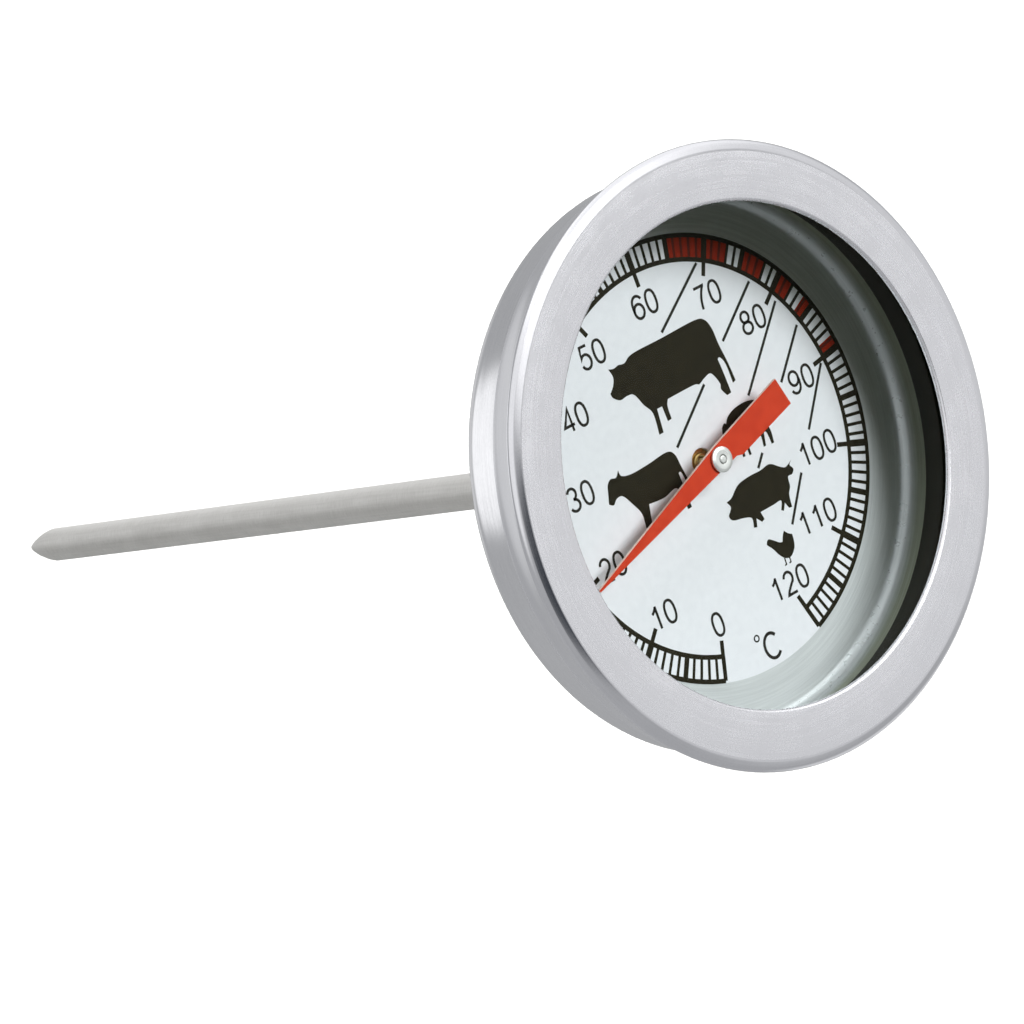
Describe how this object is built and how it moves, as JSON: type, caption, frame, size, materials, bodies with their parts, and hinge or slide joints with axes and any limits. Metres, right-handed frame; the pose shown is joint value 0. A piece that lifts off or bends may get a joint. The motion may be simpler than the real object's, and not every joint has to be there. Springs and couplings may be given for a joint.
{
  "type": "dial meat thermometer",
  "caption": "Stem thermometer for meat: round steel head with a glazed white dial, red pointer and a thin taper-nosed probe driven by a bimetal coil.",
  "frame": {"origin": "on the stem's axis, midway between the bezel's front face and the tip of the stem, which is the centre of the bounding box", "axes": "-Y out of the dial's face, +Y along the stem to its tip, +Z from the dial's centre to the middle of its scale, +X to the right of the dial as it is read"},
  "size_m": [0.052, 0.1112, 0.052],
  "materials": {
    "bezel_steel": "satin",
    "case_steel": "satin",
    "stem_steel": "satin",
    "dial_white": "satin",
    "clear_glass": "gloss",
    "black_rubber": "matte",
    "red_paint": "satin",
    "bright_metal": "polished",
    "brass": "satin",
    "spring_strip": "matte"
  },
  "bodies": {
    "housing": {"bezel_ring": "bezel_steel", "lens_glass": "clear_glass", "lens_gasket": "black_rubber", "dial_pan": "dial_white", "case_cup": "case_steel", "collar_seal": "black_rubber", "collar_washer": "bright_metal", "stem_collar": "stem_steel", "stem_tube": "stem_steel", "stem_tip": "stem_steel", "spindle_bearing": "brass", "guide_bush_front": "brass", "guide_bush_rear": "brass", "coil_anchor": "bright_metal", "bimetal_coil": "spring_strip"},
    "pointer_assembly": {"spindle": "bright_metal", "coil_coupler": "bright_metal", "thrust_ring": "brass", "pointer_bush": "brass", "pointer": "red_paint", "pointer_hub_cap": "bright_metal"}
  },
  "joints": [
    {"name": "pointer_spin", "type": "hinge", "parent": "housing", "child": "pointer_assembly", "pos_m": [0, -0.0501, 0], "axis": [0, 1, 0], "range_deg": [-55.9, 268.1], "stiffness_Nm_per_rad": 0.0002}
  ]
}
